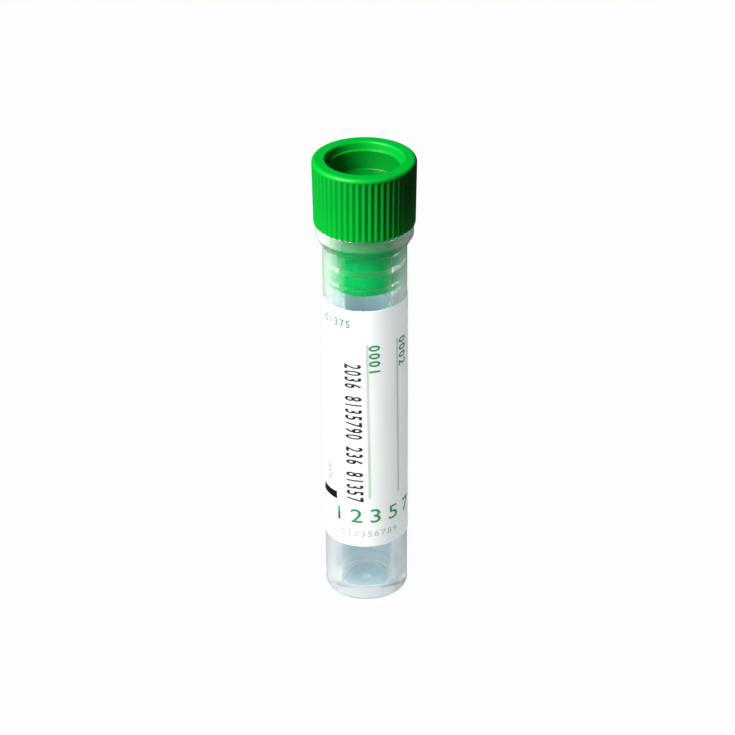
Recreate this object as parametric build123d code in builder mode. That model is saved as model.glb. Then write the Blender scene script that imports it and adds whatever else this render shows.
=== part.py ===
"""Self-standing plastic blood collection tube, its push-in stopper and its wrap-round label.

Frame: millimetres, +Z up along the axis of the tube, origin at the centre of the base.
"""
from build123d import *
import os
from math import cos, pi, radians, sin, tan

# ---------------------------------------------------------------- driving dimensions (mm, degrees)
OVERALL_HEIGHT = 75.0       # base to the stopper's top face

# Tube
TUBE_DIAMETER = 13.0
BORE_DIAMETER = 8.36        # at the rim
BORE_DRAFT = 0.08           # the bore narrows towards the floor
FLOOR_HEIGHT = 1.4          # inner floor above the standing plane
FLOOR_CORNER = 0.3          # radius between the bore and the floor
BASE_EDGE_RADIUS = 0.9
BASE_RING_WIDTH = 1.2       # flat ring that the tube stands on
BASE_RECESS_DEPTH = 0.35
GATE_DIAMETER = 1.4         # moulding gate stub in the middle of the base
GATE_HEIGHT = 0.2
RIM_CHAMFER = 0.35          # lead-in at the mouth of the bore
RIM_EDGE_RADIUS = 0.3
COLLAR_OVERHANG = 1.0       # how far the collar stands out from the tube
COLLAR_THICKNESS = 1.9
COLLAR_CONE = 1.7           # height of the cone under the collar
COLLAR_EDGE_RADIUS = 0.2

# Stopper: ribbed skirt over the neck of the tube, plug with sealing rings in the bore
ROOF_THICKNESS = 1.1
SKIRT_DEPTH = 4.95          # from the roof's underside to the skirt's lower edge
SKIRT_WALL = 1.19           # at the lower edge, over the ribs
SKIRT_DRAFT = 1.05          # the skirt widens towards its top
SKIRT_LEAD_IN = 0.25
TOP_EDGE_RADIUS = 0.6
RIB_COUNT = 52
RIB_HEIGHT = 0.15
RIB_CREST_WIDTH = 0.22
RIB_VALLEY_WIDTH = 0.2
RIB_MARGIN = 0.65           # plain band between the ribs and the top face
RIB_RUNOUT_ANGLE = 50.0     # slope at the top of each groove, from the horizontal
TOP_LAND = 2.07             # width of the ring-shaped top face
RECESS_DEPTH = 4.35
RECESS_LIP_DEPTH = 1.25     # depth of the tapered lip above the ledge
RECESS_LIP_TAPER = 0.2
MOUTH_EDGE_RADIUS = 0.4     # where the top face turns down into the lip
RECESS_LEDGE_WIDTH = 0.3
RECESS_WALL_DRAFT = 2.5
LEDGE_EDGE_RADIUS = 0.12
HOLLOW_EDGE_RADIUS = 0.3
PLUG_LENGTH = 15.45         # below the roof
PLUG_WALL = 0.72
PLUG_END_THICKNESS = 1.1
PLUG_LIP_LENGTH = 0.8       # sealing lip round the plug's lower end
PLUG_LIP_LEAD_IN = 0.15
PLUG_LIP_BACK = 0.3         # height over which the lip falls back to the plug's side
PLUG_ROOT_RADIUS = 0.25
HOLLOW_DRAFT = 0.5
HOLLOW_CORNER = 0.6
RING_COUNT = 4
RING_PITCH = 2.85
RING_WIDTH = 2.2            # broad rings, with narrow grooves between
RING_FLANK = 0.15           # height of the slope at each side of a ring
RING_STANDOUT = 0.25        # from the plug's side to the wall of the bore
FIRST_RING = 2.25           # from the plug's end to the lowest ring

# Label
LABEL_THICKNESS = 0.1
LABEL_FOOT = 10.3           # bare tube below the label
LABEL_HEADROOM = 8.5        # bare tube between the label and the collar's cone
LABEL_GAP_WIDTH = 2.8       # clear sight strip between the label's two ends
LABEL_GAP_DIRECTION = 152.5  # of the strip's middle, counter-clockwise from +X
LABEL_CORNER_RADIUS = 1.5

# Clearances
RING_CLEARANCE = 0.03       # sealing rings and lip to the bore, radial
NECK_CLEARANCE = 0.09       # skirt to the neck of the tube, radial
COLLAR_GAP = 0.1            # skirt's lower edge to the collar

# ---------------------------------------------------------------- sizes that follow from them
tube_radius = TUBE_DIAMETER / 2
collar_radius = tube_radius + COLLAR_OVERHANG
skirt_radius = tube_radius + NECK_CLEARANCE

recess_floor_z = OVERALL_HEIGHT - RECESS_DEPTH
rim_z = recess_floor_z - ROOF_THICKNESS
skirt_z = rim_z - SKIRT_DEPTH
collar_top_z = skirt_z - COLLAR_GAP
collar_bottom_z = collar_top_z - COLLAR_THICKNESS
cone_bottom_z = collar_bottom_z - COLLAR_CONE
plug_end_z = rim_z - PLUG_LENGTH

base_recess_radius = tube_radius - BASE_EDGE_RADIUS - BASE_RING_WIDTH


def bore_radius(z):
    """Radius of the tapered bore at a height above the base."""
    return BORE_DIAMETER / 2 - (rim_z - z) * tan(radians(BORE_DRAFT))


def plug_radius(z):
    """Radius of the plug's side, between its rings, at a height above the base."""
    return bore_radius(z) - RING_STANDOUT


def seal_radius(z):
    """Radius of the plug's lip and of its rings' crests at a height above the base."""
    return bore_radius(z) - RING_CLEARANCE


def crest_radius(z):
    """Radius over the skirt's ribs at a height above the base."""
    return skirt_radius + SKIRT_WALL + (z - skirt_z) * tan(radians(SKIRT_DRAFT))


def circles_at(piece, radius, z):
    """The circular edges of a turned piece at one radius and height."""
    return piece.edges().filter_by(GeomType.CIRCLE).filter_by(
        lambda edge: abs(edge.radius - radius) < 1e-4 and abs(edge.arc_center.Z - z) < 1e-4
    )


# ---------------------------------------------------------------- tube: one thick-walled moulding
with BuildPart() as tube:
    with BuildSketch(Plane.XZ):
        with BuildLine():
            Polyline(
                (0, BASE_RECESS_DEPTH),
                (base_recess_radius, BASE_RECESS_DEPTH),
                (base_recess_radius, 0),
                (tube_radius, 0),
                (tube_radius, cone_bottom_z),
                (collar_radius, collar_bottom_z),
                (collar_radius, collar_top_z),
                (tube_radius, collar_top_z),
                (tube_radius, rim_z),
                (bore_radius(rim_z), rim_z),
                (bore_radius(FLOOR_HEIGHT), FLOOR_HEIGHT),
                (0, FLOOR_HEIGHT),
                close=True,
            )
        make_face()
    revolve(axis=Axis.Z)

    fillet(circles_at(tube, tube_radius, 0), BASE_EDGE_RADIUS)
    fillet(circles_at(tube, bore_radius(FLOOR_HEIGHT), FLOOR_HEIGHT), FLOOR_CORNER)
    fillet(circles_at(tube, collar_radius, collar_top_z), COLLAR_EDGE_RADIUS)
    fillet(circles_at(tube, collar_radius, collar_bottom_z), COLLAR_EDGE_RADIUS)
    fillet(circles_at(tube, tube_radius, rim_z), RIM_EDGE_RADIUS)
    chamfer(circles_at(tube, bore_radius(rim_z), rim_z), RIM_CHAMFER)

    # Moulding gate stub, inside the recess so that the tube stands on its ring
    with BuildSketch(Plane.XY.offset(BASE_RECESS_DEPTH)):
        Circle(GATE_DIAMETER / 2)
    extrude(amount=-GATE_HEIGHT)

# ---------------------------------------------------------------- one groove between two skirt ribs
# It lies along the tapered skirt, is open at the lower edge and runs out on a slope at the top.
crest_pitch = 2 * pi * crest_radius(skirt_z) / RIB_COUNT
groove_width = crest_pitch - RIB_CREST_WIDTH
groove_overrun = 1.0        # past the skirt's lower edge
groove_relief = 0.1         # outside the ribs' crests
groove_mouth = groove_width + (groove_width - RIB_VALLEY_WIDTH) * groove_relief / RIB_HEIGHT
groove_top_z = OVERALL_HEIGHT - RIB_MARGIN
groove_plane = Plane(
    origin=(crest_radius(skirt_z - groove_overrun), 0, skirt_z - groove_overrun),
    x_dir=(0, 1, 0),
    z_dir=(sin(radians(SKIRT_DRAFT)), 0, cos(radians(SKIRT_DRAFT))),
)
runout_plane = Plane(
    origin=(crest_radius(groove_top_z), 0, groove_top_z),
    x_dir=(0, 1, 0),
    z_dir=(-sin(radians(RIB_RUNOUT_ANGLE)), 0, cos(radians(RIB_RUNOUT_ANGLE))),
)

with BuildPart() as groove:
    with BuildSketch(groove_plane):
        with BuildLine():
            Polyline(
                (-groove_mouth / 2, -groove_relief),
                (groove_mouth / 2, -groove_relief),
                (RIB_VALLEY_WIDTH / 2, RIB_HEIGHT),
                (-RIB_VALLEY_WIDTH / 2, RIB_HEIGHT),
                close=True,
            )
        make_face()
    extrude(amount=OVERALL_HEIGHT - skirt_z + groove_overrun)
    split(bisect_by=runout_plane, keep=Keep.BOTTOM)

# ---------------------------------------------------------------- stopper: one soft moulding
top_radius = crest_radius(OVERALL_HEIGHT)
lip_radius = top_radius - TOP_LAND
ledge_z = OVERALL_HEIGHT - RECESS_LIP_DEPTH
ledge_outer_radius = lip_radius - RECESS_LIP_TAPER
ledge_inner_radius = ledge_outer_radius - RECESS_LEDGE_WIDTH
recess_radius = ledge_inner_radius - (ledge_z - recess_floor_z) * tan(radians(RECESS_WALL_DRAFT))
hollow_floor_z = plug_end_z + PLUG_END_THICKNESS
hollow_radius = plug_radius(rim_z) - PLUG_WALL
hollow_floor_radius = hollow_radius - (recess_floor_z - hollow_floor_z) * tan(radians(HOLLOW_DRAFT))
lip_start_z = plug_end_z + PLUG_LIP_LEAD_IN
lip_end_z = plug_end_z + PLUG_LIP_LENGTH
lip_back_z = lip_end_z + PLUG_LIP_BACK

with BuildPart() as stopper:
    with BuildSketch(Plane.XZ):
        with BuildLine():
            # Up the plug: end, lip, then a flat-topped land for each sealing ring
            Polyline(
                (0, plug_end_z),
                (seal_radius(plug_end_z) - PLUG_LIP_LEAD_IN, plug_end_z),
                (seal_radius(lip_start_z), lip_start_z),
                (seal_radius(lip_end_z), lip_end_z),
            )
            side = Line((seal_radius(lip_end_z), lip_end_z), (plug_radius(lip_back_z), lip_back_z))
            for number in range(RING_COUNT):
                ring_z = plug_end_z + FIRST_RING + number * RING_PITCH
                foot_z = ring_z - RING_WIDTH / 2
                head_z = ring_z + RING_WIDTH / 2
                side = Polyline(
                    side @ 1,
                    (plug_radius(foot_z), foot_z),
                    (seal_radius(foot_z + RING_FLANK), foot_z + RING_FLANK),
                    (seal_radius(head_z - RING_FLANK), head_z - RING_FLANK),
                    (plug_radius(head_z), head_z),
                )
            # Roof over the rim of the tube, then down and up the skirt
            root = Line(side @ 1, (plug_radius(rim_z), rim_z))
            Polyline(
                root @ 1,
                (skirt_radius, rim_z),
                (skirt_radius, skirt_z + SKIRT_LEAD_IN),
                (skirt_radius + SKIRT_LEAD_IN, skirt_z),
                (crest_radius(skirt_z), skirt_z),
                (top_radius, OVERALL_HEIGHT),
                (lip_radius, OVERALL_HEIGHT),
                (ledge_outer_radius, ledge_z),
                (ledge_inner_radius, ledge_z),
                (recess_radius, recess_floor_z),
                (hollow_radius, recess_floor_z),
                (hollow_floor_radius, hollow_floor_z),
                (0, hollow_floor_z),
                (0, plug_end_z),
            )
        make_face()
    revolve(axis=Axis.Z)

    fillet(circles_at(stopper, top_radius, OVERALL_HEIGHT), TOP_EDGE_RADIUS)
    fillet(circles_at(stopper, lip_radius, OVERALL_HEIGHT), MOUTH_EDGE_RADIUS)
    fillet(circles_at(stopper, ledge_inner_radius, ledge_z), LEDGE_EDGE_RADIUS)
    fillet(circles_at(stopper, hollow_radius, recess_floor_z), HOLLOW_EDGE_RADIUS)
    fillet(circles_at(stopper, hollow_floor_radius, hollow_floor_z), HOLLOW_CORNER)
    fillet(circles_at(stopper, plug_radius(rim_z), rim_z), PLUG_ROOT_RADIUS)

    # Grip ribs: what is left of the skirt's side between the grooves
    with PolarLocations(0, RIB_COUNT):
        add(groove.part, mode=Mode.SUBTRACT)

# ---------------------------------------------------------------- label: one wrap with rounded corners
label_top_z = cone_bottom_z - LABEL_HEADROOM
label_height = label_top_z - LABEL_FOOT
gap_direction = radians(LABEL_GAP_DIRECTION)
gap_plane = Plane(
    origin=(0, 0, (LABEL_FOOT + label_top_z) / 2),
    x_dir=(-sin(gap_direction), cos(gap_direction), 0),
    z_dir=(cos(gap_direction), sin(gap_direction), 0),
)

with BuildPart() as label:
    with BuildSketch(Plane.XY.offset(LABEL_FOOT)):
        Circle(tube_radius + LABEL_THICKNESS)
        Circle(tube_radius, mode=Mode.SUBTRACT)
    extrude(amount=label_height)

    # Sight strip between the label's two ends, flared by their rounded corners
    with BuildSketch(gap_plane):
        Rectangle(LABEL_GAP_WIDTH, label_height)
        with Locations((0, label_height / 2), (0, -label_height / 2)):
            Rectangle(LABEL_GAP_WIDTH + 2 * LABEL_CORNER_RADIUS, 2 * LABEL_CORNER_RADIUS)
        with GridLocations(
            LABEL_GAP_WIDTH + 2 * LABEL_CORNER_RADIUS, label_height - 2 * LABEL_CORNER_RADIUS, 2, 2
        ):
            Circle(LABEL_CORNER_RADIUS, mode=Mode.SUBTRACT)
    extrude(amount=collar_radius, mode=Mode.SUBTRACT)

# ---------------------------------------------------------------- one STEP file for each piece
os.makedirs("parts", exist_ok=True)

tube.part.label = "tube"
export_step(tube.part, "parts/tube.step")

stopper.part.label = "stopper"
export_step(stopper.part, "parts/stopper.step")

label.part.label = "label"
export_step(label.part, "parts/label.step")
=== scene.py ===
"""Looks of a self-standing clear plastic blood collection tube: its body, green push-in stopper and label.

Lengths are in millimetres until a mesh is made, where MM turns them into metres. A place round the tube is an
arc on the label's face, in millimetres from the middle of its front, positive to the right.
"""
from math import cos, pi, radians, sin, sqrt, tan

import bmesh
import bpy
from mathutils import Matrix, Vector


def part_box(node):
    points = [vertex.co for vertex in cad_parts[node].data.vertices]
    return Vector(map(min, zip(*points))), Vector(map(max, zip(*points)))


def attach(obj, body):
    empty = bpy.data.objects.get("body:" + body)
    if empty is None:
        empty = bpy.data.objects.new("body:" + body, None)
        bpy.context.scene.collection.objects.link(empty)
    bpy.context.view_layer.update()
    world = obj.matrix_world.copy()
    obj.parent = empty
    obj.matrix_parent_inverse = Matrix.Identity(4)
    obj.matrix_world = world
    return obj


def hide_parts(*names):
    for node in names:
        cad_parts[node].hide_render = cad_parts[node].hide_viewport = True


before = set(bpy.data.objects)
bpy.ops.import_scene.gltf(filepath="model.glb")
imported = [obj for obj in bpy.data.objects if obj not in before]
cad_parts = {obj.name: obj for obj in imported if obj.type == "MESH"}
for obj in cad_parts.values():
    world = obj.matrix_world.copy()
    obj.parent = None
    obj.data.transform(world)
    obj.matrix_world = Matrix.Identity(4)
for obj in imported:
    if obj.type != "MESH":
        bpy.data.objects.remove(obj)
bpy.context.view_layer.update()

MM = 0.001

# ---------------------------------------------------------------- sizes from the frame, in millimetres
tube_low, tube_high = (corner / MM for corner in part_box("tube"))
stopper_low, stopper_high = (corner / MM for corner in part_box("stopper"))
label_low, label_high = (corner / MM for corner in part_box("label"))

COLLAR_RADIUS = tube_high.x
RIM_Z = tube_high.z
TOP_Z = stopper_high.z
PLUG_END_Z = stopper_low.z
LABEL_RADIUS = label_high.x
LABEL_BOTTOM_Z = label_low.z
LABEL_TOP_Z = label_high.z

# ---------------------------------------------------------------- sizes of the tube
TUBE_RADIUS = 6.5
BORE_MOUTH_RADIUS = 4.18
BORE_DRAFT = radians(0.08)
FLOOR_Z = 1.4
FLOOR_CORNER = 0.3
BASE_EDGE_RADIUS = 0.9
BASE_RECESS_RADIUS = 4.4
BASE_RECESS_Z = 0.35
GATE_RADIUS = 0.7
GATE_Z = 0.15
RIM_CHAMFER = 0.35
RIM_EDGE_RADIUS = 0.3
COLLAR_TOP_Z = 64.5
COLLAR_BOTTOM_Z = 62.6
CONE_BOTTOM_Z = 60.9
COLLAR_EDGE_RADIUS = 0.2

# ---------------------------------------------------------------- sizes of the stopper
SKIRT_Z = 64.6
SKIRT_INNER_RADIUS = 6.59
SKIRT_WALL = 1.19
SKIRT_LEAD_IN = 0.25
SKIRT_DRAFT = radians(1.05)
TOP_EDGE_RADIUS = 0.6
MOUTH_EDGE_RADIUS = 0.4
TOP_LAND = 2.07
RECESS_FLOOR_Z = 70.65
LEDGE_Z = 73.75
LIP_TAPER = 0.2
LEDGE_WIDTH = 0.3
RECESS_WALL_DRAFT = radians(2.5)
LEDGE_EDGE_RADIUS = 0.12
HOLLOW_EDGE_RADIUS = 0.3
HOLLOW_FLOOR_Z = 55.2
HOLLOW_DRAFT = radians(0.5)
HOLLOW_CORNER = 0.6
PLUG_WALL = 0.72
LIP_LENGTH = 0.8            # of the sealing lip round the plug's end
LIP_LEAD_IN = 0.15
LIP_BACK = 0.3
RING_COUNT = 4
RING_PITCH = 2.85
FIRST_RING = 2.25
RING_WIDTH = 2.2
RING_FLANK = 0.15           # height of the slope at each side of a ring
RING_STANDOUT = 0.25
RING_PRESS = 0.01           # how far the lip and rings press into the bore's face
RIB_COUNT = 52
RIB_HEIGHT = 0.15
RIB_MARGIN = 0.65
RIB_RUNOUT = 0.18
SEGMENTS_PER_RIB = 8

# ---------------------------------------------------------------- sizes of the label and its print
LABEL_GAP_WIDTH = 2.8
LABEL_GAP_AZIMUTH = radians(-117.5)     # from the front, positive to the right
LABEL_CORNER_RADIUS = 1.5
LABEL_SKEW = radians(0.65)              # stuck on slightly askew
LABEL_THICKNESS = 0.08
INK_THICKNESS = 0.006


def bore_radius(z):
    """Radius of the tapered bore at a height."""
    return BORE_MOUTH_RADIUS - (RIM_Z - z) * tan(BORE_DRAFT)


def plug_radius(z):
    """Radius of the plug's side between its rings."""
    return bore_radius(z) - RING_STANDOUT


def crest_radius(z):
    """Radius over the ribs of the skirt."""
    return SKIRT_INNER_RADIUS + SKIRT_WALL + (z - SKIRT_Z) * tan(SKIRT_DRAFT)


# ================================================================ shader expressions
class Field:
    """A value or colour that varies over a surface: arithmetic on it adds Math nodes to its material."""

    def __init__(self, finish, socket):
        self.finish = finish
        self.socket = socket

    def math(self, operation, *others, clamp=False):
        inputs = {number: other for number, other in enumerate((self, *others))}
        settings = {"operation": operation, "use_clamp": clamp}
        return self.finish.node("ShaderNodeMath", settings, inputs)

    def __add__(self, other):
        return self.math("ADD", other)

    __radd__ = __add__

    def __sub__(self, other):
        return self.math("SUBTRACT", other)

    def __rsub__(self, other):
        return self.finish.node("ShaderNodeMath", {"operation": "SUBTRACT"}, {0: other, 1: self})

    def __mul__(self, other):
        return self.math("MULTIPLY", other)

    __rmul__ = __mul__

    def __truediv__(self, other):
        return self.math("DIVIDE", other)

    def __rtruediv__(self, other):
        return self.finish.node("ShaderNodeMath", {"operation": "DIVIDE"}, {0: other, 1: self})

    def __abs__(self):
        return self.math("ABSOLUTE")

    def least(self, other):
        return self.math("MINIMUM", other)

    def most(self, other):
        return self.math("MAXIMUM", other)

    def clipped(self):
        return self.math("ADD", 0.0, clamp=True)

    def above(self, start, soft):
        """0 up to start, then rising to 1 over a soft edge."""
        return ((self - start) / soft).clipped()

    def below(self, end, soft):
        """0 down to end, then rising to 1 over a soft edge."""
        return ((end - self) / soft).clipped()

    def band(self, middle, half_width, soft=0.02):
        """1 within half_width of middle, falling to 0 over a soft edge."""
        return ((half_width - abs(self - middle)) / soft + 0.5).clipped()


class Finish:
    """The look of a material or of the world, built by expressions on its nodes."""

    def __init__(self, owner):
        self.owner = owner
        owner.use_nodes = True
        self.tree = owner.node_tree
        self.tree.nodes.clear()

    def node(self, kind, settings=None, inputs=None, output=0):
        """Adds one node: its type, its settings, then the values or links of its sockets."""
        made = self.tree.nodes.new(kind)
        for name, value in (settings or {}).items():
            setattr(made, name, value)
        for name, value in (inputs or {}).items():
            if isinstance(value, Field):
                self.tree.links.new(value.socket, made.inputs[name])
            else:
                made.inputs[name].default_value = value
        return Field(self, made.outputs[output]) if made.outputs else made

    def place(self):
        """Object coordinates in metres."""
        return self.node("ShaderNodeTexCoord", output="Object")

    def seen(self, kind):
        """1 for this kind of ray."""
        return self.node("ShaderNodeLightPath", output=f"Is {kind} Ray")

    def parts(self, vector):
        """The three components of a vector."""
        first = self.node("ShaderNodeSeparateXYZ", inputs={"Vector": vector})
        outputs = first.socket.node.outputs
        return [Field(self, outputs[number]) for number in range(3)]

    def noise(self, scale, detail=2.0, roughness=0.5):
        """Noise on Object coordinates, about 0.5 in the middle."""
        inputs = {"Vector": self.place(), "Scale": scale, "Detail": detail, "Roughness": roughness}
        return self.node("ShaderNodeTexNoise", {"normalize": True}, inputs)

    def mix(self, mask, below, above):
        """The colour below, with the colour above laid over it where the mask is 1."""
        inputs = {"Factor": mask, 6: below, 7: above}
        return self.node("ShaderNodeMix", {"data_type": "RGBA"}, inputs, output=2)

    def bump(self, height, strength, distance):
        return self.node(
            "ShaderNodeBump", inputs={"Height": height, "Strength": strength, "Distance": distance}
        )

    def principled(self, **sockets):
        inputs = {name.replace("_", " "): value for name, value in sockets.items()}
        return self.node("ShaderNodeBsdfPrincipled", inputs=inputs)

    def done(self, surface):
        ends = {"MATERIAL": "ShaderNodeOutputMaterial", "WORLD": "ShaderNodeOutputWorld"}
        self.node(ends[self.owner.id_type], inputs={"Surface": surface})
        return self.owner


# ================================================================ materials
# Where a look has two colours, noise runs between the first and the second.
GREENS = (0.0, 0.31, 0.021, 1.0), (0.0, 0.35, 0.028, 1.0)
GREEN_RECESS_PAINTED_SHADE = (0.0, 0.08, 0.004, 1.0)
GREEN_PLUG_PAINTED_LIGHT = (0.0, 0.44, 0.085, 1.0)
GREEN_PLUG_PAINTED_SHADOW = (0.0, 0.24, 0.05, 1.0)
CLEAR_TINTS = (0.69, 0.85, 0.90, 1.0), (0.75, 0.90, 0.94, 1.0)
CLEAR_TINT_TOP = (0.79, 0.98, 0.99, 1.0)
CLEAR_TINT_GLINT = (0.97, 0.99, 0.995, 1.0)
MILKS = (0.88, 0.92, 0.92, 1.0), (0.93, 0.96, 0.96, 1.0)
MILK_THROUGH = (0.95, 0.97, 0.98, 1.0)
PAPERS = (0.88, 0.89, 0.89, 1.0), (0.93, 0.935, 0.93, 1.0)
PAPER_THROUGH = (0.96, 0.98, 0.97, 1.0)
INK_RULE = (0.50, 0.59, 0.50, 1.0)
INK_GREEN = (0.035, 0.26, 0.09, 1.0)
INK_PALE = (0.42, 0.52, 0.45, 1.0)
INK_BLACK = (0.004, 0.004, 0.004, 1.0)

# Places on the stopper, in millimetres
RECESS_REACH = 5.6          # from the axis to just outside the recess's side
MOUTH_REACH = 6.0           # from the axis to the edge of the mouth
PLUG_REACH = 5.0            # from the axis to between the plug and the skirt
PLUG_PAINTED_SHADOW_Z = 58.5     # above here painted shadow darkens the plug

# Places on the tube, in millimetres, or in square millimetres for the square of a distance from the axis
OUTER_FACE = 30.0           # squared: between the bore and the outer face
FOOT_Z = 3.4
FOOT_INNER = 19.0           # squared: about the side of the base's recess
GATE_EDGE = 1.1             # squared: just outside the gate mark
GATE_TOP_Z = 2.0
FLOOR_MIDDLE_Z = 1.55       # of the band that holds the bore's floor and its corner
FLOOR_HALF_BAND = 0.45
FLOOR_RING_INNER = 10.8     # squared
PALE_TOP_Z = 45.0           # above here the tint gets paler
COLLAR_BAND_Z = 64.0        # middle of the milky band, from the collar's bottom to just above its top
COLLAR_HALF_BAND = 1.3
SEAT_Z = 50.8               # above here the bore's face is milky at its sides

# How milky the clear plastic is, from 0 to 1, and the edge-on values at which that begins. Edge-on is 0 where
# a face looks at the eye and 1 at its outline.
HAZE_FROM = 0.2
HAZE_MOST = 0.6             # near the base
HAZE_THINS_Z = 8.0          # above here the most haze becomes less
HAZE_THINS = 0.15
HAZE_GAINS_Z = 52.0         # above here it becomes more
HAZE_GAINS = 0.25
COLLAR_MILK = 0.02
COLLAR_MILK_EDGE = 0.9
SEAT_FROM = 0.24
SEAT_MILK = 0.5
FOOT_MILK = 0.42
FLOOR_MILK = 0.2
FLOOR_RING_MILK = 0.5

PAPER_GLOW = 0.45           # share of the bare label's look that is light from behind


def green_plastic():
    """Soft polyethylene as moulded: satin and with faint flow marks, and painted shade inside the recess. The
    thin plug is without gloss and painted brighter, a painted light for the light the clear tube keeps from
    it, and painted shadow darkens it towards the plug's top."""
    finish = Finish(bpy.data.materials.new("green_plastic"))
    across, along, up = finish.parts(finish.place())
    height = up / MM
    from_axis = finish.node(
        "ShaderNodeMath", {"operation": "SQRT"}, {0: across * across + along * along}
    ) / MM
    flow = finish.noise(180.0, 3.0)
    grain = finish.noise(9000.0, 2.0)
    recess = height.below(LEDGE_Z - 0.05, 0.1) * from_axis.below(RECESS_REACH, 0.1)
    mouth = height.below(TOP_Z - 0.1, 0.2) * from_axis.below(MOUTH_REACH, 0.3)
    plug = height.below(RIM_Z - 1.0, 1.0) * from_axis.below(PLUG_REACH, 0.2)
    colour = finish.mix(flow, *GREENS)
    # painted shade: the green is darkened inside the recess, and a little on the mouth's wall
    colour = finish.mix(mouth * 0.1 + recess * 0.5, colour, GREEN_RECESS_PAINTED_SHADE)
    # painted light: the plug, seen through the tube, is given a brighter green
    colour = finish.mix(plug, colour, GREEN_PLUG_PAINTED_LIGHT)
    # painted shadow: the plug darkens towards its top under the collar and cap
    colour = finish.mix(plug * height.above(PLUG_PAINTED_SHADOW_Z, 2.0) * 0.5, colour, GREEN_PLUG_PAINTED_SHADOW)
    relief = finish.bump(grain, 0.12, 0.00002)
    satin = finish.principled(
        Base_Color=colour,
        Roughness=0.30 + flow * 0.10,
        Specular_IOR_Level=0.2,
        Normal=relief,
    )
    matt = finish.principled(
        Base_Color=colour,
        Roughness=0.5 + flow * 0.10,
        Specular_IOR_Level=0.03,
        Normal=relief,
    )
    return finish.done(finish.node("ShaderNodeMixShader", inputs={0: plug, 1: satin, 2: matt}))


def clear_plastic():
    """Natural polypropylene: clear with a cool tint, milky where it is seen along its face or lies thick."""
    finish = Finish(bpy.data.materials.new("clear_plastic"))
    across, along, up = finish.parts(finish.place())
    height = up / MM
    from_axis_squared = (across * across + along * along) / (MM * MM)
    sideways = finish.node("ShaderNodeCombineXYZ", inputs={"X": across, "Y": along})
    sideways = finish.node("ShaderNodeVectorMath", {"operation": "NORMALIZE"}, {0: sideways})
    edge_on = finish.node(
        "ShaderNodeLayerWeight", inputs={"Blend": 0.5, "Normal": sideways}, output="Facing"
    )

    outside = from_axis_squared.above(OUTER_FACE, 1.0)
    inside = 1.0 - outside
    foot = height.below(FOOT_Z, 0.9) * from_axis_squared.above(FOOT_INNER, 2.0)
    gate = from_axis_squared.below(GATE_EDGE, 0.6) * height.below(GATE_TOP_Z, 0.3)
    bore_floor = height.band(FLOOR_MIDDLE_Z, FLOOR_HALF_BAND, 0.2) * inside * (1.0 - gate)
    floor_ring = bore_floor * from_axis_squared.above(FLOOR_RING_INNER, 1.2)
    collar = height.band(COLLAR_BAND_Z, COLLAR_HALF_BAND, 0.4) * outside
    seat = height.above(SEAT_Z, 0.4) * inside * ((edge_on - SEAT_FROM) * 10.0).clipped()

    streaks = finish.noise(220.0, 3.0)
    tint = finish.mix(streaks, *CLEAR_TINTS)
    tint = finish.mix(height.above(PALE_TOP_Z, 4.0), tint, CLEAR_TINT_TOP)
    # painted highlight: a near-white tint over the gate mark stands in for its glint, and brightens the foot
    # and the floor's ring as painted reflection
    glass = finish.principled(
        Base_Color=finish.mix(foot.most(floor_ring).most(gate), tint, CLEAR_TINT_GLINT),
        Roughness=0.0,
        IOR=1.49,
        Transmission_Weight=1.0,
    )
    milk = finish.node("ShaderNodeMixShader", inputs={
        0: 0.5,
        1: finish.principled(Base_Color=finish.mix(streaks, *MILKS), Roughness=0.35),
        2: finish.node("ShaderNodeBsdfTranslucent", inputs={"Color": MILK_THROUGH}),
    })

    most_haze = (
        HAZE_MOST
        - height.above(HAZE_THINS_Z, 8.0) * HAZE_THINS
        + height.above(HAZE_GAINS_Z, 2.0) * HAZE_GAINS
    )
    haze = edge_on.above(HAZE_FROM, 0.5).least(most_haze) * outside
    beside = haze + collar * (edge_on * COLLAR_MILK_EDGE + COLLAR_MILK) + seat * SEAT_MILK
    thick = foot * FOOT_MILK + bore_floor * FLOOR_MILK + floor_ring * FLOOR_RING_MILK
    milky = beside.most(thick).clipped()
    return finish.done(finish.node("ShaderNodeMixShader", inputs={0: milky, 1: glass, 2: milk}))


def label_paper():
    """White label stock, which lets some light through, with its printed rules and its fill mark."""
    finish = Finish(bpy.data.materials.new("label_paper"))
    across, up, _ = finish.parts(finish.node("ShaderNodeUVMap", {"uv_map": "label_mm"}))
    across = across * UV_UNIT
    up = up * UV_UNIT
    rules = 0.0
    for number in range(RULE_COUNT):
        # the first rule is weaker: a painted highlight washes it out
        weight = 1.0 if number else FIRST_RULE_HIGHLIGHT_FADE
        rules = rules + across.band(FIRST_RULE + number * RULE_PITCH, RULE_WIDTH / 2, 0.1) * weight
    rules = (rules * up.band((RULE_TOP + RULE_BOTTOM) / 2, (RULE_TOP - RULE_BOTTOM) / 2)).clipped()
    mark = across.band(MARK_MIDDLE, MARK_WIDTH / 2) * up.band(MARK_Z, MARK_HEIGHT / 2)
    fibre = finish.noise(6000.0, 4.0, 0.6)
    cloud = finish.noise(900.0, 2.0)
    paper = finish.mix(cloud, *PAPERS)
    inked = finish.mix(mark, finish.mix(rules, paper, INK_RULE), INK_BLACK)
    face = finish.principled(
        Base_Color=inked,
        Roughness=0.42 + fibre * 0.12,
        Specular_IOR_Level=0.2,
        Normal=finish.bump(fibre, 0.15, 0.00002),
    )
    glow = finish.node("ShaderNodeBsdfTranslucent", inputs={"Color": PAPER_THROUGH})
    bare = 1.0 - mark.most(rules * 0.6)
    return finish.done(finish.node("ShaderNodeMixShader", inputs={0: bare * PAPER_GLOW, 1: face, 2: glow}))


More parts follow.
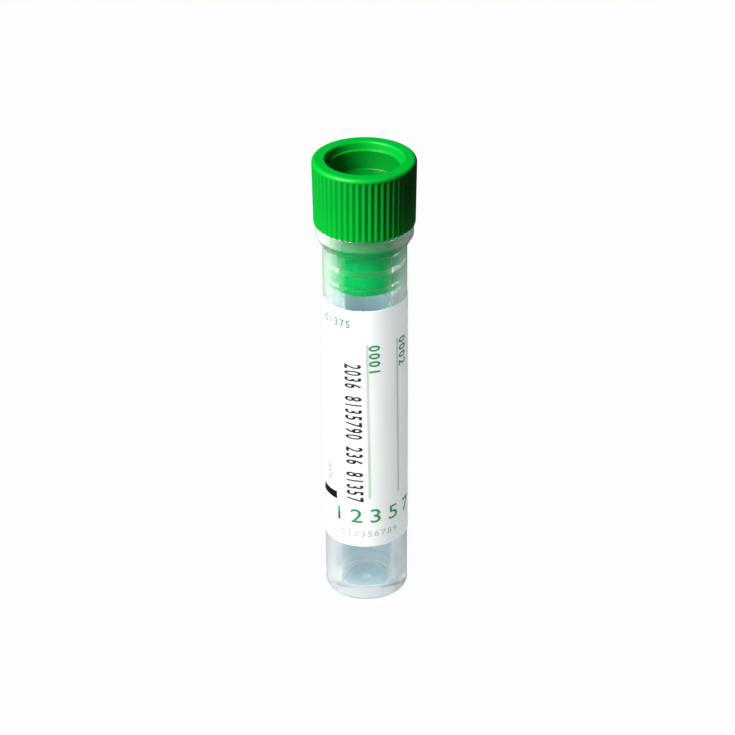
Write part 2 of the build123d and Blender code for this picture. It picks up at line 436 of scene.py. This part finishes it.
def ink(name, colour):
    """Printed ink, slightly glossy where it lies thick."""
    finish = Finish(bpy.data.materials.new(name))
    spread = finish.noise(5000.0, 2.0)
    dark = (*(0.85 * part for part in colour[:3]), 1.0)
    return finish.done(finish.principled(
        Base_Color=finish.mix(spread, dark, colour),
        Roughness=0.35 + spread * 0.15,
    ))


# ================================================================ meshes
SMALL_ARC = 0.1             # largest radius that counts as small
SMALL_ARC_STEPS = 3
LARGE_ARC_STEPS = 6
TUBE_SEGMENTS = 256
VALLEY_SHARE = 0.2          # of half a rib's pitch: half of a groove's flat bottom
FLANK_SHARE = 0.6           # of half a rib's pitch: one side of a groove
LABEL_COLUMNS = 220
LABEL_ROWS = 60
LABEL_CORNER_STEPS = 8
LABEL_EDGE_INSET = 0.02     # taken off the label's top and bottom edges
UV_UNIT = 100.0             # millimetres in one unit of the label's own coordinates


def rounded(corners, support=0.04):
    """Points of a section through (radius, height) corners; a third number rounds that corner off.

    Each arc has a point just before and after it, which keeps the flats beside it flat under smooth
    shading. Small arcs have fewer points."""
    points = []
    for number, corner in enumerate(corners):
        here = Vector(corner[:2])
        if len(corner) < 3:
            points.append(here)
            continue
        before = Vector(corners[number - 1][:2]) - here
        after = Vector(corners[number + 1][:2]) - here
        half_turn = before.angle(after) / 2
        steps = LARGE_ARC_STEPS if corner[2] > SMALL_ARC else SMALL_ARC_STEPS
        reach = corner[2] / tan(half_turn)
        towards = before.normalized()
        away = after.normalized()
        centre = here + (towards + away).normalized() * corner[2] / sin(half_turn)
        start = here + towards * reach - centre
        sweep = start.angle_signed(here + away * reach - centre)
        if before.length > reach + 2 * support:
            points.append(here + towards * (reach + support))
        for step in range(steps + 1):
            turned = start.copy()
            turned.rotate(Matrix.Rotation(-sweep * step / steps, 2))
            points.append(centre + turned)
        if after.length > reach + 2 * support:
            points.append(here + away * (reach + support))
    return points


def pressed_ring(z):
    """Corners of one sealing ring's side, pressed flat against the bore."""
    foot = z - RING_WIDTH / 2
    head = z + RING_WIDTH / 2
    return [
        (plug_radius(foot), foot, 0.05),
        (bore_radius(foot) + RING_PRESS, foot + RING_FLANK, 0.05),
        (bore_radius(head) + RING_PRESS, head - RING_FLANK, 0.05),
        (plug_radius(head), head, 0.05),
    ]


def stopper_section():
    """Half of the stopper's section, from the plug's end round to the bottom of its hollow."""
    top = crest_radius(TOP_Z)
    lip = top - TOP_LAND
    ledge_outer = lip - LIP_TAPER
    ledge_inner = ledge_outer - LEDGE_WIDTH
    recess = ledge_inner - (LEDGE_Z - RECESS_FLOOR_Z) * tan(RECESS_WALL_DRAFT)
    hollow = plug_radius(RIM_Z) - PLUG_WALL
    hollow_floor = hollow - (RECESS_FLOOR_Z - HOLLOW_FLOOR_Z) * tan(HOLLOW_DRAFT)
    seal = bore_radius(PLUG_END_Z) + RING_PRESS
    lip_end_z = PLUG_END_Z + LIP_LENGTH
    corners = [
        (0, PLUG_END_Z),
        (seal - LIP_LEAD_IN, PLUG_END_Z, 0.05),
        (seal, PLUG_END_Z + LIP_LEAD_IN, 0.05),
        (seal, lip_end_z, 0.1),
        (plug_radius(lip_end_z), lip_end_z + LIP_BACK, 0.02),
    ]
    for number in range(RING_COUNT):
        corners += pressed_ring(PLUG_END_Z + FIRST_RING + number * RING_PITCH)
    return rounded(corners + [
        (plug_radius(RIM_Z), RIM_Z, 0.25),
        (SKIRT_INNER_RADIUS, RIM_Z, 0.15),
        (SKIRT_INNER_RADIUS, SKIRT_Z + SKIRT_LEAD_IN, 0.1),
        (SKIRT_INNER_RADIUS + SKIRT_LEAD_IN, SKIRT_Z, 0.05),
        (crest_radius(SKIRT_Z), SKIRT_Z, 0.08),
        (crest_radius(TOP_Z - RIB_MARGIN - RIB_RUNOUT), TOP_Z - RIB_MARGIN - RIB_RUNOUT),
        (crest_radius(TOP_Z - RIB_MARGIN), TOP_Z - RIB_MARGIN),
        (top, TOP_Z, TOP_EDGE_RADIUS),
        (lip, TOP_Z, MOUTH_EDGE_RADIUS),
        (ledge_outer, LEDGE_Z, 0.08),
        (ledge_inner, LEDGE_Z, LEDGE_EDGE_RADIUS),
        (recess, RECESS_FLOOR_Z, 0.25),
        (hollow, RECESS_FLOOR_Z, HOLLOW_EDGE_RADIUS),
        (hollow_floor, HOLLOW_FLOOR_Z, HOLLOW_CORNER),
        (0, HOLLOW_FLOOR_Z),
    ])


def rib_share(point):
    """How deep the grooves between the ribs are at a point of the stopper's section, from 0 to 1."""
    if point.x < SKIRT_INNER_RADIUS + SKIRT_LEAD_IN + 0.1:
        return 0.0
    runout = (TOP_Z - RIB_MARGIN - point.y) / RIB_RUNOUT
    return min(1.0, max(0.0, runout))


def tube_section():
    """Half of the tube's section, from the middle of its base round to the middle of its floor."""
    return rounded([
        (0, GATE_Z),
        (GATE_RADIUS, GATE_Z, 0.06),
        (GATE_RADIUS + 0.05, BASE_RECESS_Z, 0.05),
        (BASE_RECESS_RADIUS, BASE_RECESS_Z, 0.08),
        (BASE_RECESS_RADIUS, 0, 0.08),
        (TUBE_RADIUS, 0, BASE_EDGE_RADIUS),
        (TUBE_RADIUS, CONE_BOTTOM_Z, 0.4),
        (COLLAR_RADIUS, COLLAR_BOTTOM_Z, COLLAR_EDGE_RADIUS),
        (COLLAR_RADIUS, COLLAR_TOP_Z, COLLAR_EDGE_RADIUS),
        (TUBE_RADIUS, COLLAR_TOP_Z, 0.1),
        (TUBE_RADIUS, RIM_Z, RIM_EDGE_RADIUS),
        (BORE_MOUTH_RADIUS + RIM_CHAMFER, RIM_Z, 0.08),
        (bore_radius(RIM_Z - RIM_CHAMFER), RIM_Z - RIM_CHAMFER, 0.08),
        (bore_radius(FLOOR_Z), FLOOR_Z, FLOOR_CORNER),
        (0, FLOOR_Z),
    ])


def mesh_object(name, mesh):
    made = bpy.data.objects.new(name, mesh)
    bpy.context.scene.collection.objects.link(made)
    return made


class Tree:
    """A Geometry Nodes tree with named inputs."""

    def __init__(self, name, inputs):
        self.tree = bpy.data.node_groups.new(name, "GeometryNodeTree")
        face = self.tree.interface
        face.new_socket("Geometry", in_out="OUTPUT", socket_type="NodeSocketGeometry")
        face.new_socket("Geometry", in_out="INPUT", socket_type="NodeSocketGeometry")
        for label, kind in inputs.items():
            face.new_socket(label, in_out="INPUT", socket_type="NodeSocket" + kind)
        self.given = self.tree.nodes.new("NodeGroupInput")

    def node(self, kind, settings=None, inputs=None, output=0):
        """Adds one node: its type, its settings, then the values or links of its sockets."""
        made = self.tree.nodes.new(kind)
        for name, value in (settings or {}).items():
            setattr(made, name, value)
        for name, value in (inputs or {}).items():
            if isinstance(value, bpy.types.NodeSocket):
                self.tree.links.new(value, made.inputs[name])
            else:
                made.inputs[name].default_value = value
        return made.outputs[output]

    def math(self, operation, *values):
        return self.node("ShaderNodeMath", {"operation": operation}, dict(enumerate(values)))

    def finish(self, geometry):
        realized = self.node("GeometryNodeRealizeInstances", inputs={"Geometry": geometry})
        dressed = self.node(
            "GeometryNodeSetMaterial",
            inputs={"Geometry": realized, "Material": self.given.outputs["Material"]},
        )
        end = self.tree.nodes.new("NodeGroupOutput")
        self.tree.links.new(dressed, end.inputs["Geometry"])
        return self.tree


def turned_tree():
    """Turns a section about the tube's axis, and sinks grooves into it where its rib attribute says."""
    tree = Tree("turned_piece", {
        "Segments": "Int", "Ribs": "Int", "Rib Height": "Float", "Valley Share": "Float",
        "Flank Share": "Float", "Material": "Material",
    })
    given = tree.given.outputs
    count = tree.node(
        "GeometryNodeAttributeDomainSize", {"component": "MESH"}, {"Geometry": given["Geometry"]}
    )
    row = tree.math("ADD", given["Segments"], 1)
    grid = tree.node(
        "GeometryNodeMeshGrid",
        inputs={"Size X": 1.0, "Size Y": 1.0, "Vertices X": count, "Vertices Y": row},
    )
    index = tree.node("GeometryNodeInputIndex")
    step = tree.math("FLOOR", tree.math("DIVIDE", tree.math("ADD", index, 0.5), row))
    segment = tree.math("SUBTRACT", index, tree.math("MULTIPLY", step, row))
    turn = tree.math("DIVIDE", segment, given["Segments"])
    place = tree.node(
        "GeometryNodeSampleIndex",
        {"data_type": "FLOAT_VECTOR", "domain": "POINT"},
        {"Geometry": given["Geometry"], "Value": tree.node("GeometryNodeInputPosition"), "Index": step},
    )
    share = tree.node(
        "GeometryNodeSampleIndex",
        {"data_type": "FLOAT", "domain": "POINT"},
        {
            "Geometry": given["Geometry"],
            "Value": tree.node("GeometryNodeInputNamedAttribute", {"data_type": "FLOAT"}, {"Name": "rib"}),
            "Index": step,
        },
    )
    split = tree.node("ShaderNodeSeparateXYZ", inputs={"Vector": place})
    radius, height = split, split.node.outputs["Z"]
    phase = tree.math("FRACT", tree.math("MULTIPLY", turn, given["Ribs"]))
    off_middle = tree.math("MULTIPLY", tree.math("ABSOLUTE", tree.math("SUBTRACT", phase, 0.5)), 2.0)
    flank_end = tree.math("ADD", given["Valley Share"], given["Flank Share"])
    groove = tree.node(
        "ShaderNodeMapRange",
        {"interpolation_type": "SMOOTHSTEP"},
        {
            "Value": off_middle, "From Min": given["Valley Share"], "From Max": flank_end,
            "To Min": 1.0, "To Max": 0.0,
        },
    )
    depth = tree.math("MULTIPLY", tree.math("MULTIPLY", groove, share), given["Rib Height"])
    reach = tree.math("SUBTRACT", radius, depth)
    angle = tree.math("MULTIPLY", turn, 2 * pi)
    moved = tree.node(
        "GeometryNodeSetPosition",
        inputs={
            "Geometry": grid,
            "Position": tree.node("ShaderNodeCombineXYZ", inputs={
                "X": tree.math("MULTIPLY", reach, tree.math("COSINE", angle)),
                "Y": tree.math("MULTIPLY", reach, tree.math("SINE", angle)),
                "Z": height,
            }),
        },
    )
    closed = tree.node("GeometryNodeMergeByDistance", inputs={"Geometry": moved, "Distance": 1e-7})
    outward = tree.node("GeometryNodeFlipFaces", inputs={"Mesh": closed})
    smooth = tree.node("GeometryNodeSetShadeSmooth", inputs={"Geometry": outward, "Shade Smooth": True})
    return tree.finish(smooth)


def baked(piece, tree, values):
    """The piece as a plain mesh, after a Geometry Nodes modifier with these named values."""
    modifier = piece.modifiers.new(tree.name, "NODES")
    modifier.node_group = tree
    for socket in tree.interface.items_tree:
        if socket.in_out == "INPUT" and socket.name in values:
            modifier[socket.identifier] = values[socket.name]
    evaluated = piece.evaluated_get(bpy.context.evaluated_depsgraph_get())
    mesh = bpy.data.meshes.new_from_object(evaluated)
    piece.modifiers.remove(modifier)
    piece.data = mesh
    mesh.name = piece.name
    return piece


def turned(name, section, segments, material, ribs=None):
    """A piece turned from a section in millimetres."""
    mesh = bpy.data.meshes.new(name)
    points = [(point.x * MM, 0.0, point.y * MM) for point in section]
    mesh.from_pydata(points, [(number, number + 1) for number in range(len(points) - 1)], [])
    rib = mesh.attributes.new("rib", "FLOAT", "POINT")
    for number, point in enumerate(section):
        rib.data[number].value = rib_share(point) if ribs else 0.0
    values = {
        "Segments": segments, "Ribs": ribs or 1, "Rib Height": RIB_HEIGHT * MM,
        "Valley Share": VALLEY_SHARE, "Flank Share": FLANK_SHARE, "Material": material,
    }
    return baked(mesh_object(name, mesh), TURNED, values)


def wrapped(across, up, radius):
    """The place on the tube of a point of the label, given by its arc from the front and its height."""
    middle_z = (LABEL_TOP_Z + LABEL_BOTTOM_Z) / 2
    arc = across * cos(LABEL_SKEW) - (up - middle_z) * sin(LABEL_SKEW)
    z = middle_z + across * sin(LABEL_SKEW) + (up - middle_z) * cos(LABEL_SKEW)
    angle = arc / LABEL_RADIUS
    return Vector((radius * sin(angle), -radius * cos(angle), z)) * MM


def solidified(piece, thickness):
    """The piece's sheet given a thickness inwards, and made a plain mesh again."""
    modifier = piece.modifiers.new("thickness", "SOLIDIFY")
    modifier.thickness = thickness * MM
    modifier.offset = -1.0
    evaluated = piece.evaluated_get(bpy.context.evaluated_depsgraph_get())
    mesh = bpy.data.meshes.new_from_object(evaluated)
    piece.modifiers.remove(modifier)
    piece.data = mesh
    return piece


def label_sheet(material):
    """The label as a sheet with rounded corners, with its arc and height as its own coordinates."""
    width = 2 * pi * LABEL_RADIUS - LABEL_GAP_WIDTH
    half_height = (LABEL_TOP_Z - LABEL_BOTTOM_Z) / 2 - LABEL_EDGE_INSET
    middle_z = (LABEL_TOP_Z + LABEL_BOTTOM_Z) / 2
    middle = LABEL_RADIUS * (LABEL_GAP_AZIMUTH + pi)
    straight = 2 * half_height - 2 * LABEL_CORNER_RADIUS
    turns = [pi / 2 * step / LABEL_CORNER_STEPS for step in range(LABEL_CORNER_STEPS)]
    ups = [LABEL_CORNER_RADIUS * (1 - cos(turn)) for turn in turns]
    ups += [LABEL_CORNER_RADIUS + straight * row / LABEL_ROWS for row in range(LABEL_ROWS)]
    ups += [
        2 * half_height - LABEL_CORNER_RADIUS * (1 - cos(pi / 2 * (1 - step / LABEL_CORNER_STEPS)))
        for step in range(LABEL_CORNER_STEPS + 1)
    ]
    shape = bmesh.new()
    uv = shape.loops.layers.uv.new("label_mm")
    flat = {}
    grid = []
    for up in ups:
        edge = min(up, 2 * half_height - up)
        pull = 0.0
        if edge < LABEL_CORNER_RADIUS:
            reach = LABEL_CORNER_RADIUS**2 - (LABEL_CORNER_RADIUS - edge) ** 2
            pull = LABEL_CORNER_RADIUS - sqrt(max(0.0, reach))
        line = []
        for column in range(LABEL_COLUMNS + 1):
            across = middle + (width / 2 - pull) * (2 * column / LABEL_COLUMNS - 1)
            height = middle_z - half_height + up
            vert = shape.verts.new(wrapped(across, height, LABEL_RADIUS))
            flat[vert] = (across / UV_UNIT, height / UV_UNIT)
            line.append(vert)
        grid.append(line)
    for low, high in zip(grid, grid[1:]):
        for column in range(LABEL_COLUMNS):
            face = shape.faces.new((low[column], low[column + 1], high[column + 1], high[column]))
            face.smooth = True
            for loop in face.loops:
                loop[uv].uv = flat[loop.vert]
    mesh = bpy.data.meshes.new("label_wrap")
    shape.to_mesh(mesh)
    shape.free()
    mesh.materials.append(material)
    return solidified(mesh_object("label_wrap", mesh), LABEL_THICKNESS)


def printed(name, lines, material):
    """Plain figures printed on the label, one thin piece for each ink.

    A line is its figures, the arc and height where it starts, the height of a figure, the width of a
    figure's place, how much bolder than the typeface its strokes are, and whether it reads down the tube."""
    shape = bmesh.new()
    for figures, across, up, size, pitch, bolder, down in lines:
        for number, figure in enumerate(figures):
            if figure == " ":
                continue
            curve = bpy.data.curves.new("figure", "FONT")
            curve.body = figure
            curve.size = size / FIGURE_HEIGHT
            curve.offset = bolder
            curve.resolution_u = FIGURE_CURVE_STEPS
            curve.align_x = "CENTER"
            text = bpy.data.objects.new("figure", curve)
            mesh = bpy.data.meshes.new_from_object(text)
            stretch = min(WIDEST_FIGURE, FIGURE_FILL * pitch / (size * FIGURE_WIDTH))
            place = pitch * (number + 0.5)
            if down:
                first, second = (0, 1, 0, across), (-stretch, 0, 0, up - place)
            else:
                first, second = (stretch, 0, 0, across + place), (0, 1, 0, up)
            mesh.transform(Matrix((first, second, (0, 0, 1, 0), (0, 0, 0, 1))))
            shape.from_mesh(mesh)
            bpy.data.objects.remove(text)
            bpy.data.curves.remove(curve)
            bpy.data.meshes.remove(mesh)
    bmesh.ops.remove_doubles(shape, verts=shape.verts, dist=1e-5)
    low = min(vert.co.x for vert in shape.verts)
    high = max(vert.co.x for vert in shape.verts)
    cut = low + PRINT_STRIP
    while cut < high:
        every = shape.verts[:] + shape.edges[:] + shape.faces[:]
        bmesh.ops.bisect_plane(shape, geom=every, plane_co=(cut, 0, 0), plane_no=(1, 0, 0))
        cut += PRINT_STRIP
    for vert in shape.verts:
        vert.co = wrapped(vert.co.x, vert.co.y, LABEL_RADIUS + INK_THICKNESS)
    bmesh.ops.recalc_face_normals(shape, faces=shape.faces)
    for face in shape.faces:
        middle = face.calc_center_median()
        if face.normal.dot(Vector((middle.x, middle.y, 0))) < 0:
            face.normal_flip()
    mesh = bpy.data.meshes.new(name)
    shape.to_mesh(mesh)
    shape.free()
    mesh.materials.append(material)
    return solidified(mesh_object(name, mesh), INK_THICKNESS / 2)


# ================================================================ the label's print
FIGURE_HEIGHT = 0.73        # of a figure in the built-in typeface, as a share of its size
FIGURE_WIDTH = 0.72         # of a figure in the built-in typeface, as a share of its height
FIGURE_FILL = 0.82          # share of its place that a figure fills
WIDEST_FIGURE = 1.25        # most that a figure is stretched sideways
FIGURE_CURVE_STEPS = 4
PRINT_STRIP = 0.25          # width of the strips that let the flat print bend round the tube
RULE_COUNT = 6
FIRST_RULE = -4.75
FIRST_RULE_HIGHLIGHT_FADE = 0.6     # fainter than the others, a painted highlight where the light washes it out
RULE_PITCH = 5.2
RULE_WIDTH = 0.4
RULE_TOP = 46.6
RULE_BOTTOM = 19.2
MARK_MIDDLE = -7.2
MARK_WIDTH = 4.0
MARK_Z = 18.9
MARK_HEIGHT = 1.3

TURNED = turned_tree()

# ================================================================ the pieces
stopper = turned(
    "stopper_moulding", stopper_section(), RIB_COUNT * SEGMENTS_PER_RIB, green_plastic(), RIB_COUNT
)
tube = turned("tube_moulding", tube_section(), TUBE_SEGMENTS, clear_plastic())
label = label_sheet(label_paper())
black_figures = printed("black_figures", [
    ("2036 8135790 236 81357", -3.2, 43.3, 2.75, 1.13, 0.07, True),
    ("10375", -7.3, 24.4, 0.9, 0.62, 0.0, True),
], ink("black_ink", INK_BLACK))
green_figures = printed("green_figures", [
    ("01375", -7.4, 49.35, 1.3, 1.08, 0.02, False),
    ("12357", -6.4, 14.75, 2.55, 3.1, 0.02, False),
    ("0001", FIRST_RULE + RULE_PITCH + 0.3, 46.6, 1.75, 1.35, 0.06, True),
    ("0002", FIRST_RULE + 2 * RULE_PITCH + 0.45, 46.6, 1.75, 1.3, 0.06, True),
], ink("green_ink", INK_GREEN))
pale_figures = printed("pale_figures", [
    ("012356789", -4.6, 12.2, 1.05, 1.1, 0.0, False),
], ink("pale_ink", INK_PALE))

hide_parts("stopper")
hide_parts("tube")
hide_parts("label")
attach(stopper, "stopper")
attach(tube, "tube")
for piece in (label, black_figures, green_figures, pale_figures):
    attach(piece, "tube")


# ================================================================ floor, lights and camera
FLOOR_SIDE = 4.0            # half of the floor's width, in metres
FLOOR_SCALE = 0.03          # metres from the axis to where the floor counts as fully right
FLOOR_PAINTED_SHADOW = 0.42         # how much a painted shadow darkens the floor just behind the tube, seen through it
SEEN_THROUGH = 0.97         # white of the studio through the clear plastic
SCATTER_FROM = 0.1          # place from left to right at which scattered light begins to be dimmed
SCATTER_RATE = 1.2
SCATTER_DIMMED = 0.4
CAMERA_LENS = 146.94
CAMERA_ELEVATION = radians(28.88)
CAMERA_ROLL = radians(-0.33)
CAMERA_DISTANCE = 0.467
CAMERA_AIM = (0.32, 0.0, 39.1)      # millimetres
OBJECT_MIDDLE_Z = 37.5
WIDE = 180.0                # degrees over which an ordinary soft light spreads


def studio_white(finish, toward, share=1.0):
    """How white the studio is to a ray, from 0 to 1: white to the camera, nearly so through clear plastic.

    To a ray that was scattered before, it is dimmer on the right. Toward is the ray's place from left, -1,
    to right, 1. Share is how much of the white seen through plastic is left."""
    scattered = finish.node("ShaderNodeLightPath", output="Diffuse Depth").least(1.0)
    dimming = scattered * ((toward - SCATTER_FROM) * SCATTER_RATE).clipped() * SCATTER_DIMMED
    through = finish.seen("Transmission") * ((SEEN_THROUGH - dimming) * share)
    return (finish.seen("Camera") + through).clipped()


def floor():
    """A pale floor, near white to the camera and through the clear plastic, with the object's shadow."""
    mesh = bpy.data.meshes.new("floor")
    side = FLOOR_SIDE
    corners = [(-side, -side, 0), (side, -side, 0), (side, side, 0), (-side, side, 0)]
    mesh.from_pydata(corners, [], [(0, 1, 2, 3)])
    finish = Finish(bpy.data.materials.new("white_floor"))
    across, along, _ = finish.parts(finish.place())
    # painted shadow: a soft dark patch just behind the tube, seen only through the clear plastic
    near = ((0.0006 - across * across - along * along) / 0.0005).clipped()
    behind = (along / 0.004 + 0.5).clipped()
    seen = studio_white(finish, across / FLOOR_SCALE, 1.0 - near * behind * FLOOR_PAINTED_SHADOW)
    lit = finish.node("ShaderNodeBsdfDiffuse", inputs={"Color": (0.06, 0.06, 0.06, 1.0)})
    white = finish.node("ShaderNodeEmission", inputs={"Color": (1.0, 1.0, 1.0, 1.0), "Strength": 1.0})
    mesh.materials.append(finish.done(
        finish.node("ShaderNodeMixShader", inputs={0: seen * 0.98, 1: lit, 2: white})
    ))
    mesh_object("floor", mesh)


def surroundings():
    """Dim all round, and white where the camera or the clear plastic looks straight at it."""
    world = bpy.data.worlds.new("studio")
    bpy.context.scene.world = world
    finish = Finish(world)
    across = finish.parts(finish.node("ShaderNodeTexCoord", output="Generated"))[0]
    dim = finish.node("ShaderNodeBackground", inputs={"Color": (0.012, 0.012, 0.012, 1.0)})
    white = finish.node("ShaderNodeBackground", inputs={"Color": (1.0, 1.0, 1.0, 1.0)})
    seen = studio_white(finish, across)
    finish.done(finish.node("ShaderNodeMixShader", inputs={0: seen, 1: dim, 2: white}))


def lamp(name, azimuth, elevation, distance, size, power, aim_z=OBJECT_MIDDLE_Z, spread=WIDE, through=True):
    """A square soft light, aimed at the axis. Azimuth 0 is the front, positive to the right.

    Through says whether rays that have passed through clear plastic see it."""
    light = bpy.data.lights.new(name, "AREA")
    light.energy = power
    light.size = size
    light.spread = radians(spread)
    made = bpy.data.objects.new(name, light)
    flat = distance * cos(radians(elevation))
    rise = distance * sin(radians(elevation))
    aim = Vector((0, 0, aim_z * MM))
    made.location = aim + Vector((flat * sin(radians(azimuth)), -flat * cos(radians(azimuth)), rise))
    made.rotation_euler = (aim - made.location).to_track_quat("-Z", "Y").to_euler()
    made.visible_camera = False
    made.visible_transmission = through
    bpy.context.scene.collection.objects.link(made)


def camera():
    """Looks down on the front of the object."""
    view = bpy.data.cameras.new("camera")
    view.sensor_width = 36.0
    view.lens = CAMERA_LENS
    made = bpy.data.objects.new("camera", view)
    aim = Vector(CAMERA_AIM) * MM
    away = Vector((0, -cos(CAMERA_ELEVATION), sin(CAMERA_ELEVATION)))
    made.location = aim + away * CAMERA_DISTANCE
    turn = (aim - made.location).to_track_quat("-Z", "Y").to_matrix()
    made.rotation_euler = (turn @ Matrix.Rotation(CAMERA_ROLL, 3, "Z")).to_euler()
    bpy.context.scene.collection.objects.link(made)
    bpy.context.scene.camera = made


floor()
surroundings()
lamp("key", -55, 42, 0.7, 0.36, 13.0)
lamp("card", 56, 3, 0.15, 0.057, 0.0072, aim_z=29.5, spread=12.0, through=False)
camera()
bpy.context.scene.view_settings.view_transform = "Standard"
